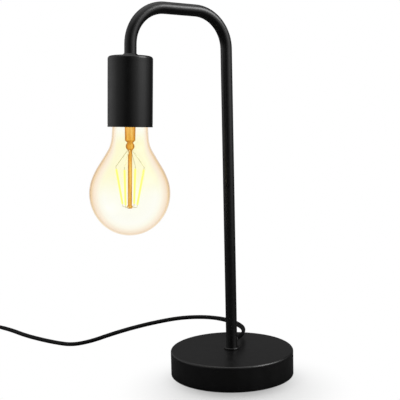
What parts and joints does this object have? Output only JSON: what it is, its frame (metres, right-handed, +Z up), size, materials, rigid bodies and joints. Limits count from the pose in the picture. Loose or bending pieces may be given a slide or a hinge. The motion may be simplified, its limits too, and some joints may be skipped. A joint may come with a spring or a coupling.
{
  "type": "table lamp",
  "caption": "Table lamp with a round weighted base, a bent tube arm, a bare hanging pear-shaped bulb in a sleeve socket, and a corded rocker switch and plug.",
  "frame": {"origin": "centre of the base's underside, on the surface that the lamp stands on", "axes": "+Z up along the shaft; -X towards the head, in the plane of the bent arm; +Y to the side where the lead leaves"},
  "size_m": [0.3567, 0.3969, 0.3548],
  "materials": {
    "black_paint": "satin powder coat",
    "cast_weight": "rough, as cast",
    "foam_pad": "matte foam",
    "zinc_steel": "zinc plated",
    "cord_sheath": "satin black sheath",
    "bush_rubber": "matte",
    "core_sleeve": "core insulation",
    "holder_moulding": "satin thermoplastic",
    "brass": "plain brass",
    "cap_metal": "pressed, satin",
    "cap_glass": "black glassy insulator",
    "solder": "dull solder",
    "board": "circuit board",
    "amber_glass": "tinted clear glass",
    "stem_glass": "clear glass",
    "filament_coat": "yellow phosphor coating",
    "wire": "nickel wire",
    "switch_plastic": "polished black",
    "clamp_metal": "plain",
    "plug_moulding": "satin moulded",
    "pin_carrier": "stiff insert",
    "pin_metal": "nickel plated brass",
    "pin_insulation": "matte",
    "tie_plastic": "satin"
  },
  "bodies": {
    "lamp": {"base_shell": "black_paint", "arm_tube": "black_paint", "collar_ring": "black_paint", "neck_ring": "black_paint", "socket_sleeve": "black_paint", "base_weight": "cast_weight", "base_pad": "foam_pad", "foot_washer": "zinc_steel", "foot_nut": "zinc_steel", "lock_washer": "zinc_steel", "cap_grub_screw": "zinc_steel", "terminal_screws": "zinc_steel", "switch_terminal_screws": "zinc_steel", "switch_case_screws": "zinc_steel", "clamp_screws": "zinc_steel", "inner_cord": "cord_sheath", "cord_lead": "cord_sheath", "cord_run": "cord_sheath", "cord_coil": "cord_sheath", "cord_tail": "cord_sheath", "cord_bush": "bush_rubber", "holder_cores": "core_sleeve", "switch_leads": "core_sleeve", "plug_leads": "core_sleeve", "holder_cap": "holder_moulding", "holder_body": "holder_moulding", "screw_shell": "brass", "centre_contact": "brass", "side_contact": "brass", "pivot_terminal": "brass", "fixed_terminal": "brass", "neutral_bar": "brass", "switch_base": "switch_plastic", "switch_top": "switch_plastic", "flex_clamps": "clamp_metal", "plug_body": "plug_moulding", "pin_bridge": "pin_carrier", "plug_pins": "pin_metal", "pin_sleeves": "pin_insulation", "cord_tie": "tie_plastic"},
    "bulb": {"bulb_cap": "cap_metal", "cap_insulator": "cap_glass", "cap_tip": "solder", "driver_board": "board", "bulb_glass": "amber_glass", "glass_stem": "stem_glass", "filaments": "filament_coat", "filament_wires": "wire"},
    "rocker": {"rocker": "switch_plastic", "plunger": "brass", "rocker_spring": "zinc_steel"},
    "contact_arm": {"contact_arm": "brass"}
  },
  "joints": [
    {"name": "bulb_turn", "type": "hinge", "parent": "lamp", "child": "bulb", "pos_m": [-0.10089, 0, 0.30569], "axis": [-0.0393, 0, -0.9992], "range_deg": [0, 2070]},
    {"name": "rocker_tilt", "type": "hinge", "parent": "lamp", "child": "rocker", "pos_m": [-0.221, 0.3275, 0.0126], "axis": [0, -1, 0], "range_deg": [0, 18]},
    {"name": "contact_tilt", "type": "hinge", "parent": "lamp", "child": "contact_arm", "pos_m": [-0.221, 0.3275, 0.0064], "axis": [0, -1, 0], "range_deg": [-7, 0]}
  ],
  "couplings": [
    {"joint": "contact_tilt", "follows": "rocker_tilt", "ratio": -0.3889}
  ]
}
